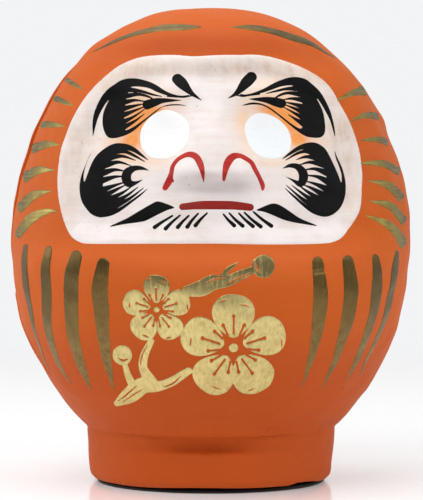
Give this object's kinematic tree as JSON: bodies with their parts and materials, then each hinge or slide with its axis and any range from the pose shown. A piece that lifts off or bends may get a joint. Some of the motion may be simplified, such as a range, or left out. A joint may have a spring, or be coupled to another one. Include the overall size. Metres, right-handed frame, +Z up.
{
  "type": "daruma doll",
  "caption": "Weighted papier-mache daruma doll with a round foot, a recessed painted face, blank eyes, swept brows and gold brush strokes.",
  "frame": {"origin": "centre of the base board's underside, on the surface the doll stands on", "axes": "+Z up through the crown, -Y the way the face looks, +X towards the viewer's right of the face"},
  "size_m": [0.1252, 0.1272, 0.1485],
  "materials": {
    "orange_paper": "papier-mache with vermilion orange paint, satin matt, slightly uneven",
    "clay": "air-dried clay, rough and matt",
    "board": "plain grey-brown board, matt",
    "white_paint": "warm white matt paint with an orange blush beside the eyes",
    "eye_paint": "clean white paint",
    "black_paint": "black brush strokes, satin",
    "red_paint": "dark red brush strokes, satin",
    "gold_paint": "metallic gold paint, brushed on thinly, streaked"
  },
  "bodies": {
    "root": {"base_board": "board", "brow_drop_left": "black_paint", "brow_drop_right": "black_paint", "brow_left": "black_paint", "brow_right": "black_paint", "cheek_left": "black_paint", "cheek_right": "black_paint", "clay_weight": "clay", "crown_stroke_left": "gold_paint", "crown_stroke_right": "gold_paint", "eye_white_left": "eye_paint", "eye_white_right": "eye_paint", "face_coat": "white_paint", "front_shell": "orange_paper", "hood_stroke_1_left": "gold_paint", "hood_stroke_1_right": "gold_paint", "hood_stroke_2_left": "gold_paint", "hood_stroke_2_right": "gold_paint", "hood_stroke_3_left": "gold_paint", "hood_stroke_3_right": "gold_paint", "hood_stroke_4_left": "gold_paint", "hood_stroke_4_right": "gold_paint", "hood_stroke_5_left": "gold_paint", "hood_stroke_5_right": "gold_paint", "hood_stroke_6_left": "gold_paint", "hood_stroke_6_right": "gold_paint", "hood_stroke_7_left": "gold_paint", "hood_stroke_7_right": "gold_paint", "lips": "red_paint", "moustache_left": "black_paint", "moustache_right": "black_paint", "nostril_left": "red_paint", "nostril_right": "red_paint", "plum_spray": "gold_paint", "rear_shell": "orange_paper", "seam_strip": "orange_paper", "side_stroke_1_left": "gold_paint", "side_stroke_1_right": "gold_paint", "side_stroke_2_left": "gold_paint", "side_stroke_2_right": "gold_paint", "side_stroke_3_left": "gold_paint", "side_stroke_3_right": "gold_paint", "side_stroke_4_left": "gold_paint", "side_stroke_4_right": "gold_paint", "whisker_1_left": "black_paint", "whisker_1_right": "black_paint", "whisker_2_left": "black_paint", "whisker_2_right": "black_paint", "whisker_3_left": "black_paint", "whisker_3_right": "black_paint", "whisker_4_left": "black_paint", "whisker_4_right": "black_paint", "whisker_5_left": "black_paint", "whisker_5_right": "black_paint"}
  },
  "joints": []
}
